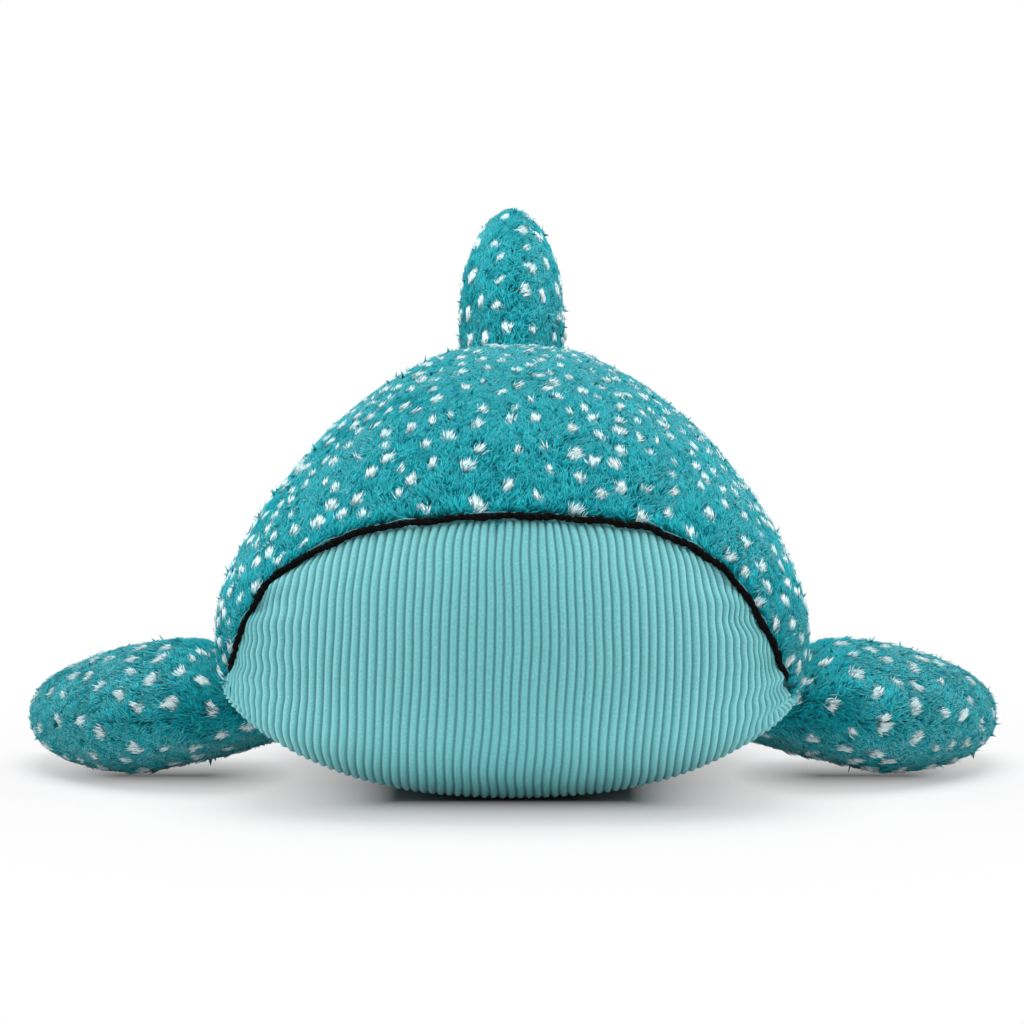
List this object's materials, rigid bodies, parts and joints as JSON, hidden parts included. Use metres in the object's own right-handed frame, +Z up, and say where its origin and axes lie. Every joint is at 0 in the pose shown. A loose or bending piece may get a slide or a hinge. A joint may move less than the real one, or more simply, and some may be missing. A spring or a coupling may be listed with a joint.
{
  "type": "plush whale shark",
  "caption": "Stuffed whale shark of spotted long-pile fur over a ribbed corduroy belly, with sewn fins and a tail that bends.",
  "frame": {"origin": "on the surface that the toy lies on, below the middle of its length and width", "axes": "+Z up, -Y towards the nose, +X towards the left side of the toy"},
  "size_m": [0.3772, 0.4934, 0.2146],
  "materials": {
    "fur": "long teal pile with white tufts",
    "corduroy": "ribbed, soft",
    "cord": "twisted black yarn",
    "filling": "loose polyester fibre",
    "eye": "polished black",
    "washer": "as moulded"
  },
  "bodies": {
    "body": {"back_fur_left": "fur", "back_fur_right": "fur", "belly_corduroy": "corduroy", "body_filling": "filling", "mouth_cord": "cord", "left_eye": "eye", "right_eye": "eye", "left_eye_washer": "washer", "right_eye_washer": "washer"},
    "left_fin": {"left_fin_upper_fur": "fur", "left_fin_lower_fur": "fur", "left_fin_filling": "filling"},
    "right_fin": {"right_fin_upper_fur": "fur", "right_fin_lower_fur": "fur", "right_fin_filling": "filling"},
    "dorsal_fin": {"dorsal_fin_left_fur": "fur", "dorsal_fin_right_fur": "fur", "dorsal_fin_filling": "filling"},
    "tail": {"tail_fur_left": "fur", "tail_fur_right": "fur", "tail_corduroy": "corduroy", "tail_filling": "filling"},
    "tail_fin": {"tail_fin_left_fur": "fur", "tail_fin_right_fur": "fur", "tail_fin_filling": "filling"}
  },
  "joints": [
    {"name": "left_fin_lift", "type": "hinge", "parent": "body", "child": "left_fin", "pos_m": [0.10067, -0.13063, 0.0316], "axis": [0.079, -0.9969, 0], "range_deg": [-15, 30], "stiffness_Nm_per_rad": 0.3},
    {"name": "right_fin_lift", "type": "hinge", "parent": "body", "child": "right_fin", "pos_m": [-0.10067, -0.13063, 0.0316], "axis": [0.079, 0.9969, 0], "range_deg": [-15, 30], "stiffness_Nm_per_rad": 0.3},
    {"name": "dorsal_fin_sway", "type": "hinge", "parent": "body", "child": "dorsal_fin", "pos_m": [0, -0.00515, 0.12774], "axis": [0, 0.8827, -0.4699], "range_deg": [-25, 25], "stiffness_Nm_per_rad": 0.4},
    {"name": "tail_swing", "type": "hinge", "parent": "body", "child": "tail", "pos_m": [0, 0.09329, 0.04458], "axis": [0, 0, 1], "range_deg": [-20, 20], "stiffness_Nm_per_rad": 1.5},
    {"name": "tail_fin_swing", "type": "hinge", "parent": "tail", "child": "tail_fin", "pos_m": [0, 0.15329, 0.043], "axis": [0, 0, 1], "range_deg": [-30, 30], "stiffness_Nm_per_rad": 0.4}
  ]
}
